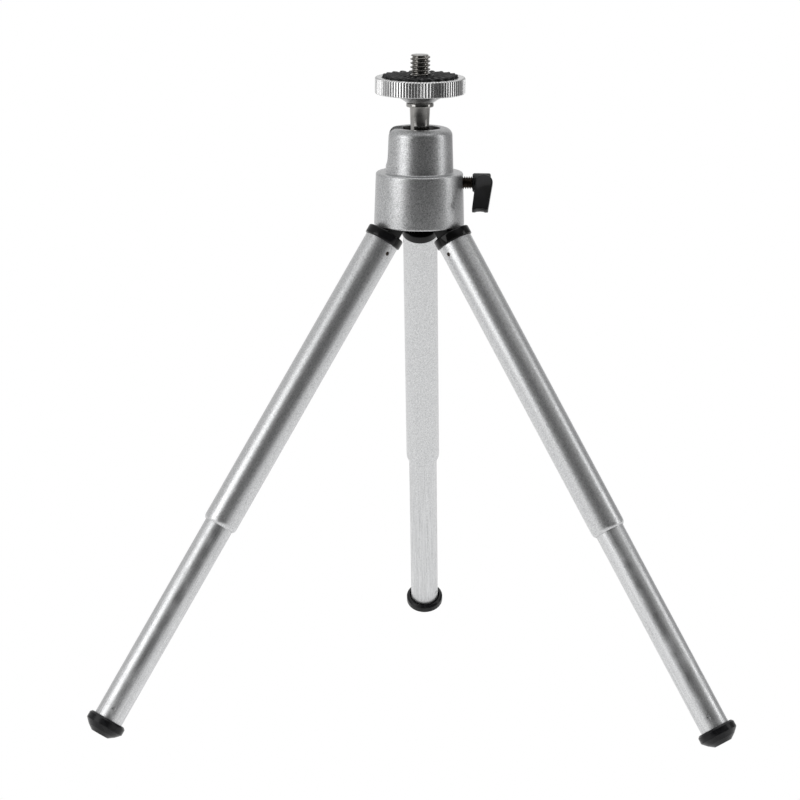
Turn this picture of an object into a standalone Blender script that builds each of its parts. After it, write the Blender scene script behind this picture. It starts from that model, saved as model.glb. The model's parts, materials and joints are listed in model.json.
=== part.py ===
"""A pocket tabletop tripod: a ball head with a quarter-inch camera screw on three folding telescopic legs.

Numbers are millimetres; finish() scales each mesh to metres. Head pieces are drawn about the head's own
axis with z = 0 at the bottom of the head casting. Leg pieces are drawn about the leg's pivot, with -Z
running down the leg and +X pointing away from the head.
"""

import math

import bmesh
import bpy
from mathutils import Matrix, Vector

MM = 0.001

# Legs
LEG_AZIMUTHS = {"rear": 90.0, "left": 210.0, "right": 330.0}
SPREAD = math.radians(33.6)
PIVOT_R = 7.6
PIVOT_Z = 4.33
TONGUE_W = 7.3
TONGUE_OUT = 1.9
TONGUE_IN = 3.2
TONGUE_TIP_R = (TONGUE_OUT + TONGUE_IN) / 2
PIN_R = 1.0
PIN_HALF = 9.2
FLANGE_S = 7.4
FLANGE_R = 6.0
TUBE_S = 10.44
PLUG_END_S = 18.4
TUBE_R = 5.5
TUBE_BORE_R = 4.9
SWAGE_S = 113.9
SWAGE_BORE_R = 4.75
CAP_PIN_S = TUBE_S + 3.1
CAP_PIN_R = 0.6
CAP_PIN_TURN = 101.0
INNER_R = 4.65
INNER_BORE_R = 4.05
INNER_TOP_S = 100.1
INNER_END_S = 184.6
SLEEVE_END_S = 112.0
FOOT_S = 183.3
FOOT_R = 6.2
FOOT_BAND_S = 185.9
FOOT_TIP_S = 188.8
FOOT_TIP_R = 2.85

# Head casting
BODY_BOTTOM_R = 14.3
BODY_TOP_R = 13.8
STEP_Z = 16.9
COLLAR_BASE_R = 10.7
COLLAR_TOP_R = 10.3
COLLAR_TOP_Z = 31.0
COLLAR_FILLET = 2.4
MOUTH_R = 6.2
MOUTH_Z = 29.6
SKIRT_R = 13.1
SKIRT_FLOOR_R = 12.9
SKIRT_FLOOR_Z = 8.6
SLOT_HALF = 3.55
CLAMP_Z = 13.6
HUB_SCREW_RADIUS = 9.6

# Ball, stem and camera screw
BALL_Z = 22.3
BALL_R = 7.2
SOCKET_R = 7.3
BALL_FLAT_Z = 28.7
STEM_FLANGE_Z = 38.2
STEM_TOP_Z = 39.5
CREST_R = 3.175
ROOT_R = 2.55
PITCH = 1.27
STUD_TOP_Z = 54.1
THREAD_FROM_Z = 46.5

# Lock wheel
HUB_Z = 39.6
WHEEL_Z = 42.15
WHEEL_TOP_Z = 47.0
WHEEL_CREST_R = 14.25
WHEEL_ROOT_R = 13.85
TEETH = 96
PAD_R = 12.0
PAD_Z = 46.05
PAD_TOP_Z = 47.8

# Thumb screw
CLAMP_PITCH = 0.7
CLAMP_CREST_R = 2.0
CLAMP_ROOT_R = 1.6
KNOB_X = 16.8
KNOB_END_X = 22.6
KNOB_R = 3.6
LEVER_TURN = math.radians(-38.0)
LEVER_FRONT = 3.1
LEVER_BACK = 0.5

ROUND = 24

# The head stands over the middle of the feet, which is not the middle of the bounding box.
GROUND_TO_PIVOT = FOOT_TIP_S * math.cos(SPREAD) + FOOT_TIP_R * math.sin(SPREAD)
BODY_LIFT = GROUND_TO_PIVOT - PIVOT_Z
BAND_REACH = PIVOT_R + FOOT_BAND_S * math.sin(SPREAD)
REAR_REACH = BAND_REACH + FOOT_R * math.cos(SPREAD)
SIDE_TILT = math.sin(SPREAD) * math.sin(math.radians(30))
FRONT_REACH = BAND_REACH / 2 + FOOT_R * math.sqrt(1 - SIDE_TILT**2)
HEAD_Y = (FRONT_REACH - REAR_REACH) / 2


def mesh_from(points, faces):
    """A mesh with its faces turned outward."""
    mesh = bpy.data.meshes.new("piece")
    mesh.from_pydata([Vector(point) for point in points], [], faces)
    work = bmesh.new()
    work.from_mesh(mesh)
    bmesh.ops.recalc_face_normals(work, faces=work.faces)
    work.to_mesh(mesh)
    work.free()
    return mesh


def turned(profile, segments=ROUND, ring=False, phase=0.0):
    """Turns (radius, z) points about Z. A ring profile closes on itself; any other starts and ends on the axis."""
    points = []
    rows = []
    for radius, z in profile:
        if radius == 0:
            rows.append([len(points)])
            points.append((0, 0, z))
            continue
        rows.append(list(range(len(points), len(points) + segments)))
        for step in range(segments):
            angle = 2 * math.pi * step / segments + phase
            points.append((radius * math.cos(angle), radius * math.sin(angle), z))
    pairs = list(zip(rows, rows[1:]))
    if ring:
        pairs.append((rows[-1], rows[0]))
    faces = []
    for low, high in pairs:
        for step in range(segments):
            after = (step + 1) % segments
            corners = [low[step % len(low)], low[after % len(low)]]
            corners += [high[after % len(high)], high[step % len(high)]]
            faces.append(list(dict.fromkeys(corners)))
    return mesh_from(points, faces)


def prism(outline, low, high):
    """Extrudes an (x, z) outline along Y from low to high."""
    count = len(outline)
    points = [(x, low, z) for x, z in outline] + [(x, high, z) for x, z in outline]
    faces = [list(range(count)), list(range(count, 2 * count))]
    for step in range(count):
        after = (step + 1) % count
        faces.append([step, after, count + after, count + step])
    return mesh_from(points, faces)


def arc(centre, radius, start, end, steps):
    """Points along a circle, with the angles in degrees."""
    angles = [math.radians(start + (end - start) * step / steps) for step in range(steps + 1)]
    return [(centre[0] + radius * math.cos(a), centre[1] + radius * math.sin(a)) for a in angles]


def moved(mesh, matrix):
    mesh.transform(matrix)
    if matrix.determinant() < 0:
        mesh.flip_normals()
    return mesh


def along_x(mesh):
    """Lays a piece turned about Z along +X."""
    return moved(mesh, Matrix.Rotation(math.pi / 2, 4, "Y"))


def combined(mesh, operation, others):
    """The mesh after a Boolean with each of the others, which are used up."""
    base = bpy.data.objects.new("base", mesh)
    bpy.context.scene.collection.objects.link(base)
    helpers = []
    for other in others:
        helper = bpy.data.objects.new("helper", other)
        bpy.context.scene.collection.objects.link(helper)
        helpers.append(helper)
        step = base.modifiers.new(operation.lower(), "BOOLEAN")
        step.operation = operation
        step.solver = "EXACT"
        step.object = helper
    graph = bpy.context.evaluated_depsgraph_get()
    graph.update()
    result = bpy.data.meshes.new_from_object(base.evaluated_get(graph))
    for used in [base] + helpers:
        data = used.data
        bpy.data.objects.remove(used)
        bpy.data.meshes.remove(data)
    work = bmesh.new()
    work.from_mesh(result)
    bmesh.ops.remove_doubles(work, verts=work.verts, dist=0.0005)
    bmesh.ops.dissolve_degenerate(work, edges=work.edges, dist=0.0005)
    work.to_mesh(result)
    work.free()
    return result


def threaded(start, end, segments, pitch, crest, root, chamfer, below=()):
    """A right-hand thread about Z as one skin, over a plain shank given as (radius, z) points below it."""
    points = []
    rows = []
    for radius, z in below:
        rows.append(len(points))
        for step in range(segments):
            angle = 2 * math.pi * step / segments
            points.append((radius * math.cos(angle), radius * math.sin(angle), z))
    count = round((end - start) / (pitch / 4))
    for row in range(count + 1):
        z = start + (end - start) * row / count
        limit = crest - max(0.0, chamfer - (end - z))
        rows.append(len(points))
        for step in range(segments):
            turn = step / segments
            phase = (z / pitch - turn) % 1.0
            height = min(1.0, max(0.0, 2.6 * abs(phase - 0.5) - 0.25))
            radius = min(limit, root + (crest - root) * height)
            angle = 2 * math.pi * turn
            points.append((radius * math.cos(angle), radius * math.sin(angle), z))
    faces = [list(range(rows[0], rows[0] + segments)), list(range(rows[-1], rows[-1] + segments))]
    for low, high in zip(rows, rows[1:]):
        for step in range(segments):
            after = (step + 1) % segments
            faces.append([low + step, low + after, high + after, high + step])
    return mesh_from(points, faces)


def material(name, colour, metallic, roughness):
    made = bpy.data.materials.new(name)
    made.use_nodes = True
    shader = made.node_tree.nodes["Principled BSDF"]
    shader.inputs["Base Color"].default_value = (*colour, 1)
    shader.inputs["Metallic"].default_value = metallic
    shader.inputs["Roughness"].default_value = roughness
    made.diffuse_color = (*colour, 1)
    return made


LOOKS = {
    "silver_paint": ((0.58, 0.58, 0.58), 0.8, 0.4),
    "bare_aluminium": ((0.78, 0.78, 0.79), 1.0, 0.25),
    "bright_steel": ((0.62, 0.61, 0.59), 1.0, 0.15),
    "dark_steel": ((0.2, 0.19, 0.18), 1.0, 0.3),
    "black_plastic": ((0.02, 0.02, 0.02), 0.0, 0.3),
    "black_rubber": ((0.025, 0.025, 0.025), 0.0, 0.6),
    "brass": ((0.75, 0.58, 0.3), 1.0, 0.3),
    "nylon": ((0.82, 0.81, 0.76), 0.0, 0.5),
}


def finish(name, mesh, look, parent, origin=(0, 0, 0)):
    """Makes the node. The mesh is in the parent's millimetres, and the node's origin goes to the given point."""
    mesh.transform(Matrix.Translation(-Vector(origin)))
    mesh.transform(Matrix.Scale(MM, 4))
    mesh.name = name
    mesh.materials.clear()
    mesh.materials.append(material(name, *LOOKS[look]))
    node = bpy.data.objects.new(name, mesh)
    node.parent = parent
    node.location = Vector(origin) * MM
    PARTS.objects.link(node)
    return node


def frame_empty(name, parent, location, turn=None):
    empty = bpy.data.objects.new(name, None)
    empty.empty_display_size = 0.01
    empty.parent = parent
    empty.location = Vector(location) * MM
    if turn:
        empty.rotation_euler = turn.to_euler()
    PARTS.objects.link(empty)
    return empty


def cylinder(radius, low, high, segments=12):
    return turned([(0, low), (radius, low), (radius, high), (0, high)], segments)


def head_casting():
    fillet = arc((COLLAR_TOP_R - COLLAR_FILLET, COLLAR_TOP_Z - COLLAR_FILLET), COLLAR_FILLET, 0, 90, 4)
    socket = arc((0, BALL_Z), SOCKET_R, math.degrees(math.acos(MOUTH_R / SOCKET_R)), 0, 4)
    edge = arc((BODY_BOTTOM_R - 0.7, 0.7), 0.7, 270, 360, 3)
    shoulder = arc((BODY_TOP_R - 0.8, STEP_Z - 0.8), 0.8, 0, 90, 3)
    profile = edge + shoulder
    profile += [(COLLAR_BASE_R + 0.5, STEP_Z), (COLLAR_BASE_R + 0.15, STEP_Z + 0.15)]
    profile += [(COLLAR_BASE_R, STEP_Z + 0.5)] + fillet
    profile += [(MOUTH_R + 1.4, COLLAR_TOP_Z), (MOUTH_R, MOUTH_Z)] + socket
    profile += [(SOCKET_R, SKIRT_FLOOR_Z), (SKIRT_FLOOR_R, SKIRT_FLOOR_Z), (SKIRT_R, 0.5)]
    body = turned(profile, 40, ring=True)
    slot = [(SLOT_HALF, COLLAR_TOP_Z + 1)] + arc((0, BALL_Z), SLOT_HALF, 0, -180, 10)
    slot += [(-SLOT_HALF, COLLAR_TOP_Z + 1)]
    cutters = [moved(prism(slot, 1.0, 16.0), Matrix.Rotation(math.pi / 2, 4, "Z"))]
    bore = along_x(cylinder(2.15, 6.5, 16.0, 16))
    cutters.append(moved(bore, Matrix.Translation((0, 0, CLAMP_Z))))
    for place in hub_screw_places():
        cutters.append(moved(cylinder(1.1, 6.0, 14.8), Matrix.Translation(place)))
    finish("head_casting", combined(body, "DIFFERENCE", cutters), "silver_paint", HEAD)


def hub_screw_places():
    """The screws stand between the legs."""
    angles = [math.radians(azimuth + 60) for azimuth in LEG_AZIMUTHS.values()]
    return [(HUB_SCREW_RADIUS * math.cos(a), HUB_SCREW_RADIUS * math.sin(a), 0) for a in angles]


def ball_and_stem():
    tilt = (0, 0, BALL_Z)
    flat_r = math.sqrt(BALL_R**2 - (BALL_FLAT_Z - BALL_Z) ** 2)
    top = math.degrees(math.acos(flat_r / BALL_R))
    sphere = arc((0, BALL_Z), BALL_R, -90, top, 10)
    sphere[0] = (0, BALL_Z - BALL_R)
    ball = turned(sphere + [(2.5, BALL_FLAT_Z), (2.5, 22.8), (0, 22.8)])
    finish("ball", ball, "bright_steel", HEAD, tilt)
    stem = [(0, 23.0), (2.4, 23.0), (2.4, 28.8), (2.95, 28.8), (3.05, 33.0), (3.25, STEM_FLANGE_Z)]
    stem += [(4.15, STEM_FLANGE_Z), (4.35, 38.4), (4.35, 39.3), (4.15, STEM_TOP_Z)]
    stem += [(2.6, STEM_TOP_Z), (2.6, 33.0), (0, 33.0)]
    finish("stem", turned(stem), "bright_steel", HEAD, tilt)
    shank = [(2.5, 33.1), (2.5, HUB_Z), (ROOT_R, HUB_Z + 0.1), (ROOT_R, THREAD_FROM_Z - 0.4)]
    screw = threaded(THREAD_FROM_Z, STUD_TOP_Z, 20, PITCH, CREST_R, ROOT_R, 0.5, shank)
    finish("camera_screw", screw, "dark_steel", HEAD, tilt)


def lock_wheel():
    tilt = (0, 0, BALL_Z)
    hub = [(3.35, HUB_Z), (3.9, HUB_Z), (5.5, 42.0), (4.95, 42.1), (4.95, 46.0), (3.35, 46.0)]
    finish("wheel_hub", turned(hub, ring=True), "bare_aluminium", HEAD, tilt)
    points = []
    around = 2 * TEETH
    for z, crest, root in (
        (WHEEL_Z, 13.75, 13.75),
        (WHEEL_Z + 0.3, WHEEL_CREST_R, WHEEL_ROOT_R),
        (WHEEL_TOP_Z - 0.3, WHEEL_CREST_R, WHEEL_ROOT_R),
        (WHEEL_TOP_Z, 13.75, 13.75),
    ):
        for step in range(around):
            radius = root if step % 2 else crest
            angle = 2 * math.pi * step / around
            points.append((radius * math.cos(angle), radius * math.sin(angle), z))
    faces = []
    for row in range(3):
        for step in range(around):
            after = (step + 1) % around
            low = row * around
            faces.append([low + step, low + after, low + around + after, low + around + step])
    inside = [(5.15, WHEEL_Z), (5.15, PAD_Z - 0.05), (PAD_R + 0.1, PAD_Z - 0.05), (PAD_R + 0.1, WHEEL_TOP_Z)]
    coarse = 48
    first = len(points)
    for radius, z in inside:
        for step in range(coarse):
            angle = 2 * math.pi * step / coarse
            points.append((radius * math.cos(angle), radius * math.sin(angle), z))
    for row in range(3):
        for step in range(coarse):
            after = (step + 1) % coarse
            low = first + row * coarse
            faces.append([low + step, low + after, low + coarse + after, low + coarse + step])
    share = around // coarse
    for outer, inner in ((0, first), (3 * around, first + 3 * coarse)):
        for step in range(coarse):
            rim = [outer + (step * share + part) % around for part in range(share + 1)]
            faces.append(rim + [inner + (step + 1) % coarse, inner + step])
    finish("lock_wheel", mesh_from(points, faces), "bare_aluminium", HEAD, tilt)
    pad = [(3.7, PAD_Z), (PAD_R, PAD_Z), (PAD_R, PAD_TOP_Z - 0.3), (PAD_R - 0.3, PAD_TOP_Z)]
    finish("wheel_pad", turned(pad + [(3.7, PAD_TOP_Z)], 32, ring=True), "black_rubber", HEAD, tilt)


def clamp():
    cup = arc((0, BALL_Z), SOCKET_R + 0.05, -50.2, -90, 5)
    cup[-1] = (0, BALL_Z - SOCKET_R - 0.05)
    seat = [(0, 9.2), (6.9, 9.2), (7.15, 9.45), (7.15, 11.0), (4.4, 12.4), (4.4, 14.32), (7.15, 15.7)]
    seat += [(7.15, cup[0][1])] + cup
    finish("ball_seat", turned(seat), "nylon", HEAD)
    axis = Matrix.Translation((0, 0, CLAMP_Z))
    origin = (KNOB_X, 0, CLAMP_Z)
    tip = [(0, 4.6), (0.65, 4.6), (1.95, 7.2), (1.95, 7.6), (0.95, 7.6), (0.95, 9.4), (0, 9.4)]
    finish("clamp_tip", moved(along_x(turned(tip, 16)), axis), "brass", HEAD, (7.2, 0, CLAMP_Z))
    shank = [(1.95, 7.75), (1.95, 12.4)]
    screw = threaded(12.9, KNOB_X + 0.6, 12, CLAMP_PITCH, CLAMP_CREST_R, CLAMP_ROOT_R, 0.0, shank)
    recess = cylinder(1.05, 7.0, 9.6)
    screw = combined(screw, "DIFFERENCE", [recess])
    screw = combined(screw, "UNION", [cylinder(1.75, KNOB_X + 0.3, 21.2, 16)])
    finish("clamp_screw", moved(along_x(screw), axis), "dark_steel", HEAD, origin)
    hub = [(0, KNOB_X), (KNOB_R - 0.4, KNOB_X), (KNOB_R, KNOB_X + 0.4), (KNOB_R, KNOB_END_X - 0.4)]
    hub += [(KNOB_R - 0.4, KNOB_END_X), (0, KNOB_END_X)]
    outline = [(21.9, -11.1), (23.25, -0.55)] + arc((20.5, -0.55), 2.75, 15, 165, 8)
    outline += [(17.75, -0.55), (16.8, -11.1), (17.9, -11.1), (18.3, -10.8), (20.4, -10.8), (20.8, -11.1)]
    lever = prism(outline, -LEVER_FRONT, -LEVER_BACK)
    bore = along_x(cylinder(2.15, KNOB_X - 1, 21.4, 16))
    knob = combined(along_x(turned(hub)), "UNION", [lever])
    knob = combined(knob, "DIFFERENCE", [bore])
    knob = moved(knob, axis @ Matrix.Rotation(LEVER_TURN, 4, "X"))
    finish("clamp_knob", knob, "black_plastic", HEAD, origin)


def leg_hub():
    body = turned([(0, 1.0), (12.3, 1.0), (12.6, 1.3), (12.6, 8.5), (0, 8.5)], 36)
    cutters = []
    half = TONGUE_W / 2 + 0.3
    for azimuth in LEG_AZIMUTHS.values():
        turn = Matrix.Rotation(math.radians(azimuth), 4, "Z")
        inner = PIVOT_R - TONGUE_IN - 0.3
        slot = prism([(inner, -1), (15, -1), (15, 10), (inner, 10)], -half, half)
        hole = moved(cylinder(PIN_R + 0.08, -15, 15), Matrix.Rotation(math.pi / 2, 4, "X"))
        cutters.append(moved(slot, turn))
        cutters.append(moved(hole, turn @ Matrix.Translation((PIVOT_R, 0, PIVOT_Z))))
    for place in hub_screw_places():
        bore = turned([(0, 0), (2.15, 0), (2.15, 2.7), (1.1, 2.7), (1.1, 9.5), (0, 9.5)], 12)
        cutters.append(moved(bore, Matrix.Translation(place)))
    finish("leg_hub", combined(body, "DIFFERENCE", cutters), "black_plastic", HEAD)
    for number, place in enumerate(hub_screw_places(), 1):
        screw = [(0, 1.9), (0.8, 1.9), (0.8, 1.2), (1.8, 1.2), (2.0, 1.5), (2.0, 2.6)]
        screw += [(1.0, 2.6), (1.0, 14.0), (0.7, 14.4), (0, 14.4)]
        mesh = moved(turned(screw, 12), Matrix.Translation(place))
        finish(f"hub_screw_{number}", mesh, "bright_steel", HEAD, place)


def leg_cap():
    half = TONGUE_W / 2
    tip = arc(((TONGUE_OUT - TONGUE_IN) / 2, 0), TONGUE_TIP_R, 0, 180, 8)
    low = -FLANGE_S - 0.5
    tongue = prism(tip + [(-TONGUE_IN, low), (TONGUE_OUT, low)], -half, half)
    flange = [(0, -FLANGE_S), (FLANGE_R - 0.4, -FLANGE_S), (FLANGE_R, -FLANGE_S - 0.4)]
    flange += [(FLANGE_R, -TUBE_S + 0.35), (FLANGE_R - 0.3, -TUBE_S + 0.05)]
    plug_r = TUBE_BORE_R - 0.05
    flange += [(plug_r, -TUBE_S + 0.05), (plug_r, -PLUG_END_S + 0.5), (plug_r - 0.5, -PLUG_END_S)]
    cap = combined(turned(flange + [(0, -PLUG_END_S)]), "UNION", [tongue])
    hole = moved(cylinder(PIN_R + 0.05, -6, 6), Matrix.Rotation(math.pi / 2, 4, "X"))
    return combined(cap, "DIFFERENCE", [hole] + cap_pin_holes(0.05))


def cap_pin_holes(gap):
    """Radial cylinders for the two cap pins, on the sides of the tube that the hinge pin points to."""
    holes = []
    for turn in (CAP_PIN_TURN, -CAP_PIN_TURN):
        hole = along_x(cylinder(CAP_PIN_R + gap, 3.2 - gap, TUBE_R + 0.5))
        place = Matrix.Translation((0, 0, -CAP_PIN_S)) @ Matrix.Rotation(math.radians(turn), 4, "Z")
        holes.append(moved(hole, place))
    return holes


def leg_pieces(side):
    """The meshes of one leg, by the start of each node's name."""
    outer = [(TUBE_R, -TUBE_S), (TUBE_R, -SWAGE_S + 1.6), (TUBE_R - 0.15, -SWAGE_S + 0.8)]
    outer += [(TUBE_R - 0.4, -SWAGE_S + 0.25), (SWAGE_BORE_R + 0.1, -SWAGE_S)]
    inner = [(SWAGE_BORE_R, -SWAGE_S), (SWAGE_BORE_R, -SWAGE_S + 0.7), (TUBE_BORE_R, -SWAGE_S + 1.3)]
    inner += [(TUBE_BORE_R, -TUBE_S)]
    upper = combined(turned(outer + inner, ring=True), "DIFFERENCE", cap_pin_holes(0.04))
    lower = [(INNER_R, -INNER_TOP_S), (INNER_R, -INNER_END_S), (INNER_BORE_R, -INNER_END_S)]
    lower += [(INNER_BORE_R, -INNER_TOP_S)]
    plug = [(0, -INNER_TOP_S + 2.0), (4.5, -INNER_TOP_S + 2.0), (4.8, -INNER_TOP_S + 1.7)]
    plug += [(4.8, -INNER_TOP_S + 0.05), (4.0, -INNER_TOP_S + 0.05), (4.0, -INNER_TOP_S - 6), (0, -INNER_TOP_S - 6)]
    sleeve = [(4.68, -INNER_TOP_S - 0.1), (4.68, -SLEEVE_END_S), (4.86, -SLEEVE_END_S)]
    sleeve += [(4.86, -INNER_TOP_S - 0.1)]
    foot = [(0, -FOOT_S + 5), (3.98, -FOOT_S + 5), (3.98, -INNER_END_S - 0.1), (4.72, -INNER_END_S - 0.1)]
    foot += [(4.72, -FOOT_S), (FOOT_R - 0.3, -FOOT_S), (FOOT_R, -FOOT_S - 0.3), (FOOT_R, -FOOT_BAND_S)]
    foot += [(FOOT_TIP_R, -FOOT_TIP_S), (0, -FOOT_TIP_S)]
    pieces = {
        "leg_cap": (leg_cap(), "black_plastic"),
        "upper_tube": (upper, "silver_paint"),
        "lower_tube": (turned(lower, ring=True), "bare_aluminium"),
        "tube_plug": (turned(plug), "nylon"),
        "friction_sleeve": (turned(sleeve, ring=True), "brass"),
        "foot": (turned(foot), "black_rubber"),
    }
    for letter, turn in (("a", CAP_PIN_TURN), ("b", -CAP_PIN_TURN)):
        pin = along_x(cylinder(CAP_PIN_R, 3.2, TUBE_R - 0.15))
        place = Matrix.Translation((0, 0, -CAP_PIN_S)) @ Matrix.Rotation(math.radians(turn), 4, "Z")
        pieces[f"cap_pin_{side}_{letter}"] = (moved(pin, place), "dark_steel")
    return pieces


def leg(side, azimuth):
    around = Matrix.Rotation(math.radians(azimuth), 4, "Z")
    pivot = around @ Vector((PIVOT_R, 0, PIVOT_Z))
    pin = moved(cylinder(PIN_R, -PIN_HALF, PIN_HALF), Matrix.Rotation(math.pi / 2, 4, "X"))
    pin = moved(pin, Matrix.Translation(pivot) @ around)
    finish(f"pivot_pin_{side}", pin, "bright_steel", HEAD, pivot)
    frame = frame_empty(f"leg_frame_{side}", HEAD, pivot, around @ Matrix.Rotation(-SPREAD, 4, "Y"))
    for name, (mesh, look) in leg_pieces(side).items():
        full = name if side in name else f"{name}_{side}"
        finish(full, mesh, look, frame)


for old in list(bpy.data.objects):
    bpy.data.objects.remove(old)
PARTS = bpy.data.collections.new("tabletop_tripod")
bpy.context.scene.collection.children.link(PARTS)
HEAD = frame_empty("head_frame", None, (0, HEAD_Y, BODY_LIFT))

head_casting()
ball_and_stem()
lock_wheel()
clamp()
leg_hub()
for leg_side, leg_azimuth in LEG_AZIMUTHS.items():
    leg(leg_side, leg_azimuth)
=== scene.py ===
"""Looks for the pocket tabletop tripod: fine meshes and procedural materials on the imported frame."""

import json
import math

import bmesh
import bpy
from mathutils import Matrix, Vector


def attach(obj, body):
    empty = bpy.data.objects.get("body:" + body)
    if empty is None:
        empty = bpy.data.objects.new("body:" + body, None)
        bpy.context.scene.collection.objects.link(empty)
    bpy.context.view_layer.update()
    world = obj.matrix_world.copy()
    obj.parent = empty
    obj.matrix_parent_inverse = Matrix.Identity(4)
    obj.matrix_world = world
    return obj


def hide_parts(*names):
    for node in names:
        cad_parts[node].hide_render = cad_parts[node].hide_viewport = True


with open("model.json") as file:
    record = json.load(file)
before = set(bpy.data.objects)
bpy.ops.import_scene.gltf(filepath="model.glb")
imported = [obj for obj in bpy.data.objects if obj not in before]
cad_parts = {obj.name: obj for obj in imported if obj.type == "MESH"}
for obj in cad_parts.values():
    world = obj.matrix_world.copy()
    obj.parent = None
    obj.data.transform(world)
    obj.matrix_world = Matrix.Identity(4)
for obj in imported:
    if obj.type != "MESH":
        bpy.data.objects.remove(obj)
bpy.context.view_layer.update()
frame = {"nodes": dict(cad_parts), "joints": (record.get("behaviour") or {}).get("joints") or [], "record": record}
MM = 0.001
SIDES = ("rear", "left", "right")
JOINTS = {joint["name"]: joint for joint in frame["joints"]}
SLOT_OF = {entry["node"]: entry["material_slot"] for entry in frame["record"]["subparts"]}

# Sizes in millimetres and turns in degrees. Z is the height above the head casting's lower rim, R is
# a radius, and S is the distance down a leg from its pivot.
BALL_Z = 22.3
BALL_R = 7.2
BALL_FLAT_Z = 28.7
COLLAR_TOP_Z = 31.0
STEP_Z = 16.9
BORE_R = 7.3
SLOT_R = 3.55
CLAMP_Z = 13.6
FLANGE_Z = 37.6
FLANGE_TOP_Z = 38.9
CREST_R = 3.175
ROOT_R = 2.5
PITCH = 1.27
THREAD_Z = 46.4
STUD_TOP_Z = 54.1
WHEEL_Z = 41.8
WHEEL_TOP_Z = 47.0
WHEEL_R = 14.25
TEETH = 88
TOOTH_DEPTH = 0.2
PAD_Z = 46.0
PAD_TOP_Z = 47.8
PAD_R = 12.0
PAD_RIBS = 22
PAD_RIB_DEPTH = 0.55
LEVER_TURN = -38.0
LEVER_TIP_Z = -11.9
LEVER_ROUND_Z = -2.0
TUBE_S = 10.44
TUBE_R = 5.5
SWAGE_S = 113.9
INNER_S = 100.1
INNER_R = 4.65
FOOT_S = 183.3
FOOT_TIP_S = 188.8
CAP_PIN_S = 13.54
CAP_PIN_TURN = 101.0
DIMPLE_TURNS = {"rear": 245.0, "left": 60.0, "right": -62.0}

# The head casting's own axes.
BALL_AT = Vector(JOINTS["ball_tilt"]["pos_m"])
HEAD = Matrix.Translation(BALL_AT - Vector((0, 0, BALL_Z * MM)))


def leg_frame(side):
    """The leg's own axes: +Z up the leg, +Y along the hinge, +X away from the head."""
    up = Vector(JOINTS[f"leg_slide_{side}"]["axis"]).normalized()
    hinge = Vector(JOINTS[f"leg_fold_{side}"]["axis"]).normalized()
    out = hinge.cross(up)
    turn = Matrix((out, hinge, up)).transposed().to_4x4()
    return Matrix.Translation(Vector(JOINTS[f"leg_fold_{side}"]["pos_m"])) @ turn


# Meshes


def rounded(corners, steps=5):
    """(r, z) corners, each with a third number for the radius of its round."""
    path = []
    for index, corner in enumerate(corners):
        here = Vector(corner[:2])
        radius = corner[2] if len(corner) > 2 else 0
        if not radius:
            path.append(here)
            continue
        before = Vector(corners[index - 1][:2]) - here
        after = Vector(corners[(index + 1) % len(corners)][:2]) - here
        half = before.angle(after) / 2
        reach = min(radius / math.tan(half), before.length * 0.49, after.length * 0.49)
        start = here + before.normalized() * reach
        end = here + after.normalized() * reach
        for step in range(steps + 1):
            t = step / steps
            path.append((1 - t) ** 2 * start + 2 * t * (1 - t) * here + t * t * end)
    return [(max(0.0, point.x), point.y) for point in path]


def turned_row(work, segments, z, radius_at):
    """Points round the Z axis, at radius_at(angle)."""
    row = []
    for step in range(segments):
        angle = 2 * math.pi * step / segments
        radius = radius_at(angle)
        row.append(work.verts.new((radius * math.cos(angle), radius * math.sin(angle), z)))
    return row


def skin(work, pairs, segments):
    """Faces between each two rows. A row of one point closes the end."""
    for low, high in pairs:
        if len(low) == 1 and len(high) == 1:
            continue
        for step in range(segments):
            after = (step + 1) % segments
            corners = [low[step % len(low)], low[after % len(low)]]
            corners += [high[after % len(high)], high[step % len(high)]]
            work.faces.new(list(dict.fromkeys(corners)))
    bmesh.ops.recalc_face_normals(work, faces=work.faces)
    return work


def lathe(profile, segments=128, ring=False, radius_of=None):
    """Turns a profile about Z. radius_of(r, z, angle) can vary the radius round the turn."""
    work = bmesh.new()
    rows = []
    for radius, z in profile:
        if radius < 1e-6:
            rows.append([work.verts.new((0, 0, z))])
            continue
        rows.append(
            turned_row(work, segments, z, lambda angle: radius_of(radius, z, angle) if radius_of else radius)
        )
    pairs = list(zip(rows, rows[1:]))
    if ring:
        pairs.append((rows[-1], rows[0]))
    return skin(work, pairs, segments)


def threaded(start, end, pitch, crest, root, chamfer, shank, segments=64, share=18):
    """A right-hand thread with round crests on a shank, share rows to a turn. It fades in at the start."""
    work = bmesh.new()
    rows = [[work.verts.new((0, 0, shank[0][1]))]]
    for radius, z in shank:
        rows.append(turned_row(work, segments, z, lambda angle: radius))
    count = round((end - start) / pitch * share)
    for index in range(count + 1):
        z = start + (end - start) * index / count
        limit = crest - max(0.0, chamfer - (end - z)) - max(0.0, 0.5 - (z - start)) * 0.9

        def radius_at(angle):
            phase = (z / pitch - angle / (2 * math.pi)) % 1.0
            height = max(0.0, min(1.0, 2.7 * abs(phase - 0.5) - 0.22))
            height = height * height * (3 - 2 * height)
            return min(max(limit, root * 0.9), root + (crest - root) * height)

        rows.append(turned_row(work, segments, z, radius_at))
    rows.append(turned_row(work, segments, end, lambda angle: crest - chamfer - 0.15))
    rows.append([work.verts.new((0, 0, end))])
    return skin(work, zip(rows, rows[1:]), segments)


def prism(outline, low, high):
    """Extrudes an (x, z) outline along Y."""
    work = bmesh.new()
    ends = [[work.verts.new((x, y, z)) for x, z in outline] for y in (low, high)]
    for end in ends:
        work.faces.new(end)
    for step in range(len(outline)):
        after = (step + 1) % len(outline)
        work.faces.new((ends[0][step], ends[0][after], ends[1][after], ends[1][step]))
    bmesh.ops.recalc_face_normals(work, faces=work.faces)
    return work


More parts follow.
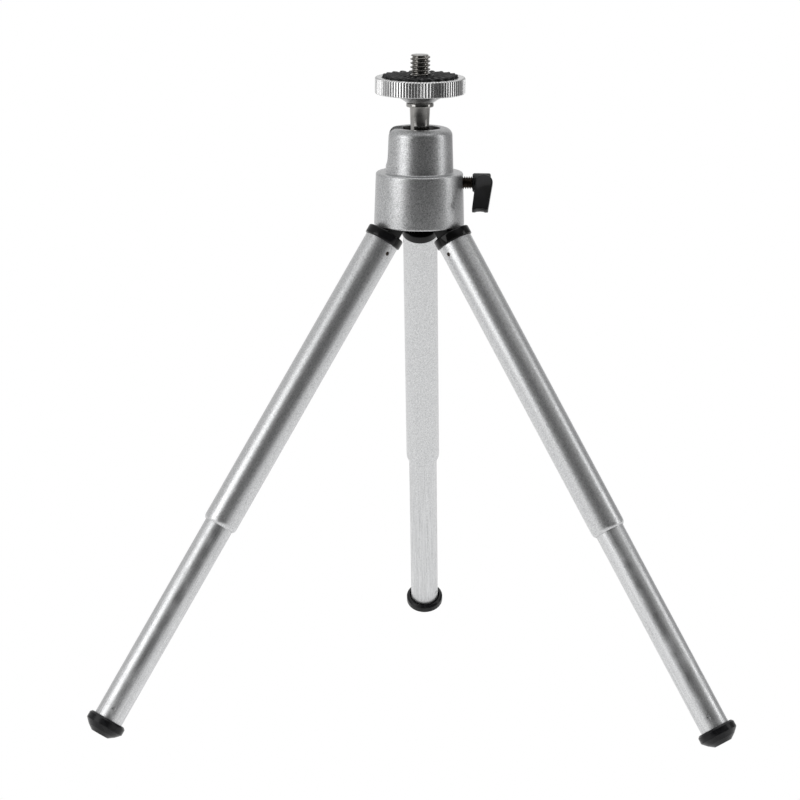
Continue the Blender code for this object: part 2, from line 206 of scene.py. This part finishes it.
def arc(centre, radius, start, end, steps):
    angles = [math.radians(start + (end - start) * step / steps) for step in range(steps + 1)]
    return [(centre[0] + radius * math.cos(a), centre[1] + radius * math.sin(a)) for a in angles]


def moved(work, matrix):
    work.transform(matrix)
    return work


def along_x(work):
    return moved(work, Matrix.Rotation(math.pi / 2, 4, "Y"))


def joined(*parts):
    """One mesh holding several shells."""
    whole = bmesh.new()
    for part in parts:
        data = bpy.data.meshes.new("shell")
        part.to_mesh(data)
        part.free()
        whole.from_mesh(data)
        bpy.data.meshes.remove(data)
    return whole


def bevelled(work, width, angle):
    """Rounds every edge sharper than the angle."""
    limit = math.radians(angle)
    edges = [edge for edge in work.edges if len(edge.link_faces) == 2 and edge.calc_face_angle() > limit]
    bmesh.ops.bevel(
        work, geom=edges, offset=width, segments=3, profile=0.5, affect="EDGES", clamp_overlap=True
    )
    return work


def cut(work, cutters):
    """The mesh with each cutter taken out of it."""
    base = bpy.data.objects.new("base", bpy.data.meshes.new("base"))
    work.to_mesh(base.data)
    work.free()
    bpy.context.scene.collection.objects.link(base)
    helpers = []
    for cutter in cutters:
        helper = bpy.data.objects.new("cutter", bpy.data.meshes.new("cutter"))
        cutter.to_mesh(helper.data)
        cutter.free()
        bpy.context.scene.collection.objects.link(helper)
        helpers.append(helper)
        step = base.modifiers.new("cut", "BOOLEAN")
        step.operation = "DIFFERENCE"
        step.solver = "EXACT"
        step.object = helper
    graph = bpy.context.evaluated_depsgraph_get()
    graph.update()
    result = bpy.data.meshes.new_from_object(base.evaluated_get(graph))
    out = bmesh.new()
    out.from_mesh(result)
    bmesh.ops.remove_doubles(out, verts=out.verts, dist=0.001)
    for used in [base] + helpers:
        data = used.data
        bpy.data.objects.remove(used)
        bpy.data.meshes.remove(data)
    bpy.data.meshes.remove(result)
    return out


def piece(name, work, look, body, node, place=HEAD, sharp=32.0, flatten=False):
    """Makes a piece that stands for the CAD node from a mesh in millimetres.

    flatten moves the mesh and leaves the object at the origin.
    """
    work.transform(Matrix.Scale(MM, 4))
    mesh = bpy.data.meshes.new(name)
    work.to_mesh(mesh)
    work.free()
    mesh.shade_smooth()
    mesh.set_sharp_from_angle(angle=math.radians(sharp))
    mesh.materials.clear()
    mesh.materials.append(look)
    made = bpy.data.objects.new(name, mesh)
    bpy.context.scene.collection.objects.link(made)
    if flatten:
        mesh.transform(place)
    else:
        made.matrix_world = place
    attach(made, body)
    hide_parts(node)
    return made


# Materials. Noise scales are in features per metre, and bump depths are in metres.


class Look:
    """A Principled material with helpers for the nodes that drive it."""

    def __init__(self, name, metallic=0.0):
        self.made = bpy.data.materials.new(name)
        self.made.use_nodes = True
        self.tree = self.made.node_tree
        self.shader = self.tree.nodes["Principled BSDF"]
        self.shader.inputs["Metallic"].default_value = metallic
        self.at = self.add("ShaderNodeTexCoord").outputs["Object"]

    def add(self, kind, **settings):
        node = self.tree.nodes.new(kind)
        for key, value in settings.items():
            setattr(node, key, value)
        return node

    def link(self, source, target):
        self.tree.links.new(source, target)

    def stretched(self, scale):
        """Coordinates scaled per axis, in features per metre."""
        node = self.add("ShaderNodeMapping")
        node.inputs["Scale"].default_value = scale
        self.link(self.at, node.inputs["Vector"])
        return node.outputs["Vector"]

    def noise(self, scale, detail=3.0, at=None, roughness=0.5):
        node = self.add("ShaderNodeTexNoise")
        node.inputs["Scale"].default_value = scale
        node.inputs["Detail"].default_value = detail
        node.inputs["Roughness"].default_value = roughness
        self.link(at or self.at, node.inputs["Vector"])
        return node.outputs["Fac"]

    def ramp(self, value, low, high, start, end):
        node = self.add("ShaderNodeValToRGB")
        elements = node.color_ramp.elements
        elements[0].position = start
        elements[1].position = end
        elements[0].color = (*low, 1)
        elements[1].color = (*high, 1)
        self.link(value, node.inputs["Fac"])
        return node.outputs["Color"]

    def mixed(self, first, second, factor):
        node = self.add("ShaderNodeMix", data_type="FLOAT")
        node.inputs["Factor"].default_value = factor
        self.link(first, node.inputs["A"])
        self.link(second, node.inputs["B"])
        return node.outputs["Result"]

    def colour(self, source):
        self.link(source, self.shader.inputs["Base Color"])

    def rough(self, value, low, high, start=0.3, end=0.7):
        node = self.add("ShaderNodeMapRange")
        node.inputs["From Min"].default_value = start
        node.inputs["From Max"].default_value = end
        node.inputs["To Min"].default_value = low
        node.inputs["To Max"].default_value = high
        self.link(value, node.inputs["Value"])
        self.link(node.outputs["Result"], self.shader.inputs["Roughness"])

    def bump(self, *layers):
        """Each layer is (height, strength, depth in metres)."""
        normal = None
        for height, strength, depth in layers:
            node = self.add("ShaderNodeBump")
            node.inputs["Strength"].default_value = strength
            node.inputs["Distance"].default_value = depth
            self.link(height, node.inputs["Height"])
            if normal:
                self.link(normal, node.inputs["Normal"])
            normal = node.outputs["Normal"]
        self.link(normal, self.shader.inputs["Normal"])


def metallic_paint(name, dark, light, grain, sparkle, bump):
    """Silver lacquer: fine aluminium flake under a soft clear coat, with a sand-like grain."""
    look = Look(name, metallic=0.9)
    coarse = look.noise(grain, 4.0, roughness=0.7)
    fine = look.noise(sparkle, 2.0)
    look.colour(look.ramp(look.mixed(coarse, fine, 0.45), dark, light, 0.38, 0.62))
    look.rough(fine, 0.3, 0.42)
    look.bump((coarse, 0.35, bump), (fine, 0.3, bump * 0.5))
    look.shader.inputs["Coat Weight"].default_value = 0.12
    look.shader.inputs["Coat Roughness"].default_value = 0.25
    return look.made


def drawn_aluminium():
    """Bare tube: streaks and scratches along the draw, and a fine grain."""
    look = Look("bare_drawn_aluminium", metallic=1.0)
    streaks = look.noise(1.0, 4.0, look.stretched((2600, 2600, 60)), 0.65)
    scratches = look.noise(1.0, 2.0, look.stretched((7000, 7000, 240)), 0.5)
    clouds = look.noise(180, 3.0)
    grain = look.noise(2600, 3.0, roughness=0.6)
    both = look.mixed(streaks, grain, 0.6)
    look.colour(look.ramp(both, (0.47, 0.475, 0.48), (0.83, 0.835, 0.84), 0.35, 0.65))
    look.rough(clouds, 0.34, 0.48)
    look.bump((streaks, 0.2, 0.00003), (scratches, 0.25, 0.00002), (grain, 0.45, 0.00004))
    return look.made


def knurled_aluminium():
    """Machined aluminium, with painted shade darkening the grooves round its edge."""
    look = Look("knurled_aluminium", metallic=1.0)
    flat = look.stretched((1.0, 1.0, 0.0))
    length = look.add("ShaderNodeVectorMath", operation="LENGTH")
    look.link(flat, length.inputs[0])
    # Painted shade: the colour follows the distance from the axis. It is darkest 13.8 to 14.0 mm out and grows
    # lighter out to the teeth's crests, so the knurl's grooves and the edge beside them look shaded.
    reach = look.add("ShaderNodeMapRange")
    reach.inputs["From Min"].default_value = 0.0135
    reach.inputs["From Max"].default_value = 0.0143
    look.link(length.outputs["Value"], reach.inputs["Value"])
    painted_groove_shade = look.add("ShaderNodeValToRGB")
    stops = painted_groove_shade.color_ramp.elements
    for stop, position, shade in ((stops[0], 0.3, 0.7), (stops[1], 0.92, 0.76)):
        stop.position = position
        stop.color = (shade, shade, shade, 1)
    for position, shade in ((0.38, 0.4), (0.6, 0.5)):
        stops.new(position).color = (shade, shade, shade, 1)
    look.link(reach.outputs["Result"], painted_groove_shade.inputs["Fac"])
    look.colour(painted_groove_shade.outputs["Color"])
    rings = look.noise(1.0, 3.0, look.stretched((900, 900, 5200)), 0.6)
    look.rough(rings, 0.18, 0.28)
    look.bump((rings, 0.05, 0.00002))
    return look.made


def plated_steel(name, dark, light, rough_low, rough_high):
    """Turned and plated: fine lines round the axis, and a little cloudiness in the plating."""
    look = Look(name, metallic=1.0)
    lines = look.noise(1.0, 3.0, look.stretched((220, 220, 5200)), 0.6)
    clouds = look.noise(420, 3.0)
    look.colour(look.ramp(clouds, dark, light, 0.3, 0.7))
    look.rough(clouds, rough_low, rough_high)
    look.bump((lines, 0.18, 0.00003))
    return look.made


def black_plastic():
    look = Look("black_moulded_plastic")
    fine = look.noise(3800, 2.0)
    clouds = look.noise(260, 3.0)
    look.colour(look.ramp(clouds, (0.004, 0.004, 0.004), (0.01, 0.01, 0.011), 0.35, 0.65))
    look.rough(clouds, 0.07, 0.15)
    look.bump((fine, 0.1, 0.00001))
    look.shader.inputs["Specular IOR Level"].default_value = 0.22
    return look.made


def black_rubber(name, low, high, shine):
    look = Look(name)
    grain = look.noise(3000, 4.0, roughness=0.7)
    dust = look.noise(520, 4.0)
    look.colour(look.ramp(dust, (0.005, 0.005, 0.006), (0.014, 0.014, 0.015), 0.4, 0.7))
    look.rough(dust, low, high)
    look.bump((grain, 0.35, 0.00005))
    look.shader.inputs["Specular IOR Level"].default_value = shine
    return look.made


def moulded(name, dark, light):
    look = Look(name)
    clouds = look.noise(600, 3.0)
    look.colour(look.ramp(clouds, dark, light, 0.35, 0.65))
    look.rough(clouds, 0.4, 0.55)
    look.bump((look.noise(2400, 2.0), 0.2, 0.00003))
    return look.made


CASTING_PAINT = metallic_paint(
    "silver_casting_paint", (0.29, 0.295, 0.3), (0.71, 0.715, 0.72), 2300, 4600, 0.00006
)
TUBE_PAINT = metallic_paint(
    "silver_tube_paint", (0.46, 0.465, 0.47), (0.82, 0.825, 0.83), 2000, 4600, 0.00006
)
DRAWN = drawn_aluminium()
TURNED = plated_steel("turned_aluminium", (0.42, 0.42, 0.42), (0.58, 0.58, 0.58), 0.3, 0.42)
KNURLED = knurled_aluminium()
BRIGHT = plated_steel("nickel_plated_steel", (0.29, 0.285, 0.275), (0.43, 0.42, 0.405), 0.1, 0.18)
ZINC = plated_steel("zinc_plated_steel", (0.52, 0.52, 0.5), (0.68, 0.68, 0.65), 0.25, 0.4)
DARK = plated_steel("dark_nickel_steel", (0.2, 0.19, 0.18), (0.36, 0.35, 0.33), 0.14, 0.24)
OXIDE = plated_steel("black_oxide_steel", (0.025, 0.02, 0.018), (0.07, 0.055, 0.045), 0.3, 0.45)
PLASTIC = black_plastic()
# Painted shade: a near-black steel for the socket's inner faces, standing in for the shade inside the socket.
SOCKET_SHADE = plated_steel("painted_socket_shade", (0.03, 0.03, 0.03), (0.09, 0.09, 0.088), 0.35, 0.55)
RUBBER = black_rubber("black_rubber", 0.2, 0.34, 0.2)
PAD_RUBBER = black_rubber("pad_rubber", 0.38, 0.55, 0.2)
BRASS = plated_steel("turned_brass", (0.62, 0.45, 0.2), (0.8, 0.62, 0.34), 0.22, 0.35)
NYLON = moulded("natural_nylon", (0.74, 0.73, 0.67), (0.84, 0.83, 0.78))
CARRIED = {
    "brass": BRASS,
    "nylon": NYLON,
    "zinc_steel": ZINC,
    "black_oxide": OXIDE,
    "black_plastic": PLASTIC,
}


# Head


def head_casting():
    """The stepped body, with the ball's socket, the slot and the clamp's hole cut in it."""
    outline = [(14.3, 0.0, 0.9), (13.8, STEP_Z, 0.9), (10.75, STEP_Z, 0.5)]
    outline += arc((10.35 - 2.45, COLLAR_TOP_Z - 2.45), 2.45, 4, 90, 12)
    outline += [(6.75, COLLAR_TOP_Z), (6.5, COLLAR_TOP_Z - 0.2), (6.42, COLLAR_TOP_Z - 0.6), (6.25, 29.0)]
    outline += arc((0, BALL_Z), BORE_R, math.degrees(math.acos(6.2 / BORE_R)), 0, 10)
    outline += [(BORE_R, 8.6), (12.9, 8.6), (13.1, 0.0)]
    outline = rounded(outline, 8)
    slot = [(SLOT_R, 33)] + arc((0, BALL_Z), SLOT_R, 0, -180, 24) + [(-SLOT_R, 33)]
    cutters = [moved(prism(slot, 1, 16), Matrix.Rotation(math.pi / 2, 4, "Z"))]
    bore = rounded([(0, 6.5), (2.15, 6.5), (2.15, 13.6), (2.6, 14.1), (2.6, 16), (0, 16)])
    cutters.append(moved(along_x(lathe(bore, 48)), Matrix.Translation((0, 0, CLAMP_Z))))
    body = cut(lathe(outline, 144, ring=True), cutters)
    made = piece("head_casting_fine", body, CASTING_PAINT, "head", "head_casting", sharp=38)
    # The faces inside the socket take the near-black second material, which is painted shade in the recess.
    made.data.materials.append(SOCKET_SHADE)
    for face in made.data.polygons:
        reach = math.hypot(face.center.x, face.center.y) / MM
        if reach < BORE_R + 0.02 and face.center.z < (COLLAR_TOP_Z - 0.3) * MM:
            face.material_index = 1
    return made


def ball():
    flat_r = math.sqrt(BALL_R**2 - (BALL_FLAT_Z - BALL_Z) ** 2)
    top = math.degrees(math.acos(flat_r / BALL_R))
    sphere = arc((0, BALL_Z), BALL_R, -90, top, 40)
    sphere[0] = (0, BALL_Z - BALL_R)
    socket = [(2.5, BALL_FLAT_Z), (2.5, 22.8), (0, 22.8)]
    piece("ball_fine", lathe(sphere + socket, 96), BRIGHT, "ball", "ball")


def stem():
    corners = [(0, 23.0), (2.4, 23.0), (2.4, 28.8), (2.95, 28.8, 0.15), (3.0, 32.0), (3.25, FLANGE_Z, 0.25)]
    corners += [(4.35, FLANGE_Z, 0.35), (4.35, FLANGE_TOP_Z, 0.35)]
    corners += [(2.6, FLANGE_TOP_Z), (2.6, 33.0), (0, 33.0)]
    piece("stem_fine", lathe(rounded(corners), 96), BRIGHT, "stem", "stem")


def camera_screw():
    shank = [(2.5, 33.1), (2.5, 39.6), (ROOT_R, 39.7), (ROOT_R, 46.1)]
    work = threaded(THREAD_Z, STUD_TOP_Z, PITCH, CREST_R, ROOT_R, 0.45, shank)
    piece("camera_screw_fine", work, DARK, "stem", "camera_screw", sharp=60)


def lock_wheel():
    """The knurled wheel, and the hub under it that runs on the camera screw."""
    hub = [(3.35, 39.0, 0.15), (4.3, 39.0, 0.3), (8.4, WHEEL_Z - 0.1, 0.1), (4.95, WHEEL_Z - 0.05)]
    hub += [(4.95, PAD_Z), (3.35, PAD_Z)]
    piece("wheel_hub_fine", lathe(rounded(hub), 96, ring=True), TURNED, "wheel_hub", "wheel_hub")

    def knurl(radius, z, angle):
        depth = min(1.0, max(0.0, (radius - 13.5) / 0.5)) * TOOTH_DEPTH
        wave = abs(((angle * TEETH / (2 * math.pi)) % 1.0) - 0.5) * 2
        return radius - depth * max(0.0, 1 - wave / 0.55)

    low, high = WHEEL_Z, WHEEL_TOP_Z
    edge = [(WHEEL_R - 0.85, 0), (WHEEL_R - 0.3, 0.03), (WHEEL_R - 0.13, 0.12), (WHEEL_R, 0.3)]
    edge.append((WHEEL_R, 1.6))
    profile = [(5.15, low)] + [(radius, low + rise) for radius, rise in edge]
    profile += [(radius, high - rise) for radius, rise in reversed(edge)]
    profile += [(PAD_R + 0.3, high), (PAD_R + 0.1, high - 0.15), (PAD_R + 0.1, PAD_Z), (5.15, PAD_Z)]
    work = lathe(profile, TEETH * 8, ring=True, radius_of=knurl)
    piece("lock_wheel_fine", work, KNURLED, "wheel", "lock_wheel", sharp=28)


def wheel_pad():
    """Rubber disc with wavy ribs that run out to a scalloped edge."""

    def wave(angle, reach):
        return 0.5 + 0.5 * math.cos(angle * PAD_RIBS + 0.9 * math.sin(reach * 1.3))

    def rib(radius, z, angle):
        if z < 47.05 or radius < 4.2:
            return radius
        return radius - 0.5 * wave(angle, radius) * max(0.0, (radius - 9.5) / 2.5)

    low, top = PAD_Z + 0.05, PAD_TOP_Z
    profile = [(3.7, low), (PAD_R, low), (PAD_R, 47.05), (PAD_R, 47.3), (PAD_R - 0.08, top - 0.2)]
    profile += [(PAD_R - 0.3 - 0.38 * k, top) for k in range(20)]
    profile += [(4.1, top), (3.7, top - 0.25)]
    work = lathe(profile, PAD_RIBS * 20, ring=True, radius_of=rib)
    for vert in work.verts:
        if vert.co.z > top - 0.3:
            reach = math.hypot(vert.co.x, vert.co.y)
            fade = min(1.0, max(0.0, (reach - 4.2) / 0.8))
            vert.co.z -= PAD_RIB_DEPTH * fade * wave(math.atan2(vert.co.y, vert.co.x), reach) ** 1.6
    piece("wheel_pad_fine", work, PAD_RUBBER, "wheel", "wheel_pad", sharp=50)


def thumb_screw():
    """The clamp's screw and its one-sided lever. The lever's outline is (x, z) before it is turned."""
    axis = HEAD @ Matrix.Translation((0, 0, CLAMP_Z * MM))
    shank = [(1.05, 7.75), (1.95, 7.75), (1.95, 12.5)]
    work = along_x(threaded(12.9, 17.4, 0.7, 2.0, 1.55, 0.0, shank, 48, 16))
    work = joined(work, along_x(lathe([(0, 17.0), (1.75, 17.0), (1.75, 21.2), (0, 21.2)], 32)))
    piece("clamp_screw_fine", work, OXIDE, "clamp", "clamp_screw", axis, sharp=60)
    hub = rounded([(0, 16.8), (2.75, 16.8, 0.3), (3.05, 17.3, 0.3), (3.05, 22.6, 0.7), (0, 22.6)], 6)
    top, tip = LEVER_ROUND_Z, LEVER_TIP_Z
    outline = [(21.9, tip), (23.25, top)] + arc((20.5, top), 2.75, 8, 172, 20)
    outline += [(17.75, top), (16.8, tip), (17.8, tip)]
    outline += [(18.25, tip + 0.25), (19.35, tip + 0.35), (20.45, tip + 0.25), (20.9, tip)]
    lever = bevelled(prism(outline, -4.3, -1.7), 0.32, 40.0)
    knob = joined(along_x(lathe(hub, 64)), lever)
    place = axis @ Matrix.Rotation(math.radians(LEVER_TURN), 4, "X")
    piece("clamp_knob_fine", knob, PLASTIC, "clamp", "clamp_knob", place, sharp=40)


# Legs


def leg_cap(side, place):
    """Tongue, flange and plug in one."""
    flange = [(0, -7.4), (6.0, -7.4, 0.55), (6.0, -10.38, 0.45), (4.85, -10.38)]
    flange += [(4.85, -18.4, 0.4), (0, -18.4)]
    tip = arc((-0.65, 0), 2.55, 0, 180, 20)
    tongue = bevelled(prism(tip + [(-3.2, -7.7), (1.9, -7.7)], -3.65, 3.65), 0.35, 50.0)
    work = joined(lathe(rounded(flange), 96), tongue)
    piece(f"leg_cap_fine_{side}", work, PLASTIC, f"leg_{side}", f"leg_cap_{side}", place)


def punch(profile, angle, s, segments):
    """A turned cutter that points out of the leg at this angle, s below its pivot."""
    spot = Matrix.Translation((0, 0, -s)) @ Matrix.Rotation(math.radians(angle), 4, "Z")
    return moved(along_x(lathe(profile, segments)), spot)


def tubes(side, place):
    """The painted tube, drawn in at its lower end, and the bare one that slides in it."""
    outer = [(TUBE_R, -TUBE_S, 0.15), (TUBE_R, -SWAGE_S + 1.6), (TUBE_R - 0.06, -SWAGE_S + 1.0)]
    outer += [(TUBE_R - 0.22, -SWAGE_S + 0.5), (TUBE_R - 0.45, -SWAGE_S + 0.15), (TUBE_R - 0.62, -SWAGE_S)]
    inner = [(4.75, -SWAGE_S), (4.75, -SWAGE_S + 0.7), (4.9, -SWAGE_S + 1.3), (4.9, -TUBE_S)]
    hole = [(0, 4.0), (0.64, 4.0), (0.64, 5.42), (0.85, 6.0), (0, 6.0)]
    holes = [punch(hole, turn, CAP_PIN_S, 32) for turn in (CAP_PIN_TURN, -CAP_PIN_TURN)]
    upper = cut(lathe(rounded(outer + inner), ring=True), holes)
    piece(f"upper_tube_fine_{side}", upper, TUBE_PAINT, f"leg_{side}", f"upper_tube_{side}", place)
    low_end = -FOOT_S - 1.5
    lower = [(INNER_R, -INNER_S, 0.1), (INNER_R, low_end), (4.05, low_end), (4.05, -INNER_S)]
    mark = [(0, INNER_R - 0.5), (0.4, INNER_R - 0.5), (0.72, INNER_R), (0.95, INNER_R + 0.5)]
    mark.append((0, INNER_R + 0.5))
    dimple = punch(mark, DIMPLE_TURNS[side], FOOT_S - 3.6, 24)
    work = cut(lathe(rounded(lower), 96, ring=True), [dimple])
    piece(f"lower_tube_fine_{side}", work, DRAWN, f"lower_{side}", f"lower_tube_{side}", place)


def foot(side, place):
    top, bottom = -FOOT_S, -FOOT_TIP_S
    corners = [(0, top + 5), (3.98, top + 5), (3.98, top - 1.6), (4.72, top - 1.6), (4.72, top - 0.7)]
    corners += [(5.15, top, 0.12), (5.65, top - 0.1, 0.1), (6.2, top - 0.7, 0.1), (6.2, top - 2.6, 0.4)]
    corners += [(4.65, top - 4.2, 0.8), (2.85, bottom, 0.4), (0, bottom)]
    rubber = lathe(rounded(corners), 96)
    piece(f"foot_fine_{side}", rubber, RUBBER, f"lower_{side}", f"foot_{side}", place, flatten=True)


head_casting()
ball()
stem()
camera_screw()
lock_wheel()
wheel_pad()
thumb_screw()
for name in SIDES:
    at_leg = leg_frame(name)
    leg_cap(name, at_leg)
    tubes(name, at_leg)
    foot(name, at_leg)

for node, carried in frame["nodes"].items():
    if SLOT_OF[node] in CARRIED and not carried.hide_render:
        carried.data.materials.clear()
        carried.data.materials.append(CARRIED[SLOT_OF[node]])


# Studio, in metres

FLOOR_HALF = 6.0
FLOOR_FRONT = 0.06
FLOOR_BACK = 0.95
STUDIO_FRONT = 0.035
STUDIO_BACK = 0.75
RIGHT_SHADE = 0.35
LEFT_SHADE = 0.8
LIT_POINT = Vector((BALL_AT.x, BALL_AT.y, 0.1))
LENS_MM = 182.9925
CAMERA_DISTANCE = 1.3005
CAMERA_ELEVATION = math.radians(11.496)
CAMERA_TURN = math.radians(1.746)
CAMERA_ROLL = math.radians(0.36)
CAMERA_ACROSS = -0.005705
CAMERA_RISE = -0.00226


def mapped(tree, value, low, high, at_low, at_high):
    """Goes smoothly from at_low to at_high while the value goes from low to high."""
    node = tree.nodes.new("ShaderNodeMapRange")
    node.interpolation_type = "SMOOTHSTEP"
    node.inputs["From Min"].default_value = low
    node.inputs["From Max"].default_value = high
    node.inputs["To Min"].default_value = at_low
    node.inputs["To Max"].default_value = at_high
    tree.links.new(value, node.inputs["Value"])
    return node.outputs["Result"]


def times(tree, first, second):
    """The product of two values."""
    node = tree.nodes.new("ShaderNodeMath")
    node.operation = "MULTIPLY"
    tree.links.new(first, node.inputs[0])
    tree.links.new(second, node.inputs[1])
    return node.outputs["Value"]


def seen_white(tree, strength):
    """Full white where the camera looks straight at it, and the given strength for every other ray."""
    path = tree.nodes.new("ShaderNodeLightPath")
    mix = tree.nodes.new("ShaderNodeMix")
    mix.data_type = "FLOAT"
    tree.links.new(path.outputs["Is Camera Ray"], mix.inputs["Factor"])
    tree.links.new(strength, mix.inputs["A"])
    mix.inputs["B"].default_value = 1.0
    return mix.outputs["Result"]


def floor():
    """A lit white table that falls off towards the front."""
    look = bpy.data.materials.new("lit_table")
    look.use_nodes = True
    tree = look.node_tree
    tree.nodes.remove(tree.nodes["Principled BSDF"])
    glow = tree.nodes.new("ShaderNodeEmission")
    where = tree.nodes.new("ShaderNodeTexCoord")
    split = tree.nodes.new("ShaderNodeSeparateXYZ")
    tree.links.new(where.outputs["Object"], split.inputs["Vector"])
    falloff = mapped(tree, split.outputs["Y"], -0.75, -0.12, FLOOR_FRONT, FLOOR_BACK)
    falloff = times(tree, falloff, mapped(tree, split.outputs["X"], 0.35, 0.8, 1.0, RIGHT_SHADE))
    falloff = times(tree, falloff, mapped(tree, split.outputs["X"], -0.8, -0.35, LEFT_SHADE, 1.0))
    tree.links.new(seen_white(tree, falloff), glow.inputs["Strength"])
    tree.links.new(glow.outputs["Emission"], tree.nodes["Material Output"].inputs["Surface"])
    mesh = bpy.data.meshes.new("lit_table")
    corners = [(-1, -1), (1, -1), (1, 1), (-1, 1)]
    mesh.from_pydata([(x * FLOOR_HALF, y * FLOOR_HALF, 0) for x, y in corners], [], [(0, 1, 2, 3)])
    mesh.materials.append(look)
    made = bpy.data.objects.new("lit_table", mesh)
    made.location.z = -0.0001
    bpy.context.scene.collection.objects.link(made)


def surroundings():
    """A white studio that is darker in front and a little darker on the right."""
    world = bpy.data.worlds.new("studio")
    bpy.context.scene.world = world
    world.use_nodes = True
    tree = world.node_tree
    background = tree.nodes["Background"]
    coord = tree.nodes.new("ShaderNodeTexCoord")
    split = tree.nodes.new("ShaderNodeSeparateXYZ")
    tree.links.new(coord.outputs["Generated"], split.inputs["Vector"])
    strength = mapped(tree, split.outputs["Y"], -0.9, -0.2, STUDIO_FRONT, STUDIO_BACK)
    strength = times(tree, strength, mapped(tree, split.outputs["X"], 0.4, 0.75, 1.0, RIGHT_SHADE))
    strength = times(tree, strength, mapped(tree, split.outputs["X"], -0.75, -0.4, LEFT_SHADE, 1.0))
    tree.links.new(seen_white(tree, strength), background.inputs["Strength"])
    background.inputs["Color"].default_value = (1, 1, 1, 1)


def softbox(name, at, size, power):
    """An area light aimed at the middle of the object."""
    light = bpy.data.lights.new(name, "AREA")
    light.shape = "RECTANGLE"
    light.size, light.size_y = size
    light.energy = power
    made = bpy.data.objects.new(name, light)
    made.location = at
    made.rotation_euler = (LIT_POINT - Vector(at)).to_track_quat("-Z", "Y").to_euler()
    bpy.context.scene.collection.objects.link(made)


def camera():
    """A long lens a little above the object, turned slightly and rolled a touch."""
    forward = Vector((0, math.cos(CAMERA_ELEVATION), -math.sin(CAMERA_ELEVATION)))
    right = Vector((1, 0, 0))
    up = right.cross(forward)
    eye = Vector((0, 0, LIT_POINT.z)) - forward * CAMERA_DISTANCE + right * CAMERA_ACROSS + up * CAMERA_RISE
    side = right * math.cos(CAMERA_ROLL) + up * math.sin(CAMERA_ROLL)
    top = up * math.cos(CAMERA_ROLL) - right * math.sin(CAMERA_ROLL)
    pose = Matrix((side, top, -forward)).transposed().to_4x4()
    pose.translation = eye
    data = bpy.data.cameras.new("camera")
    data.sensor_width = 36.0
    data.lens = LENS_MM
    data.clip_start = 0.05
    data.clip_end = 50
    made = bpy.data.objects.new("camera", data)
    about = Matrix.Translation((BALL_AT.x, BALL_AT.y, 0)) @ Matrix.Rotation(CAMERA_TURN, 4, "Z")
    made.matrix_world = about @ pose
    bpy.context.scene.collection.objects.link(made)
    bpy.context.scene.camera = made


floor()
surroundings()
softbox("softbox_left", (-0.82, -0.6, 0.35), (0.6, 0.9), 3.9)
softbox("softbox_right", (0.96, -0.12, 0.35), (0.3, 0.9), 1.7)
softbox("softbox_top", (0.0, 0.1, 1.3), (1.2, 1.2), 3.5)
camera()
bpy.context.scene.view_settings.view_transform = "Standard"
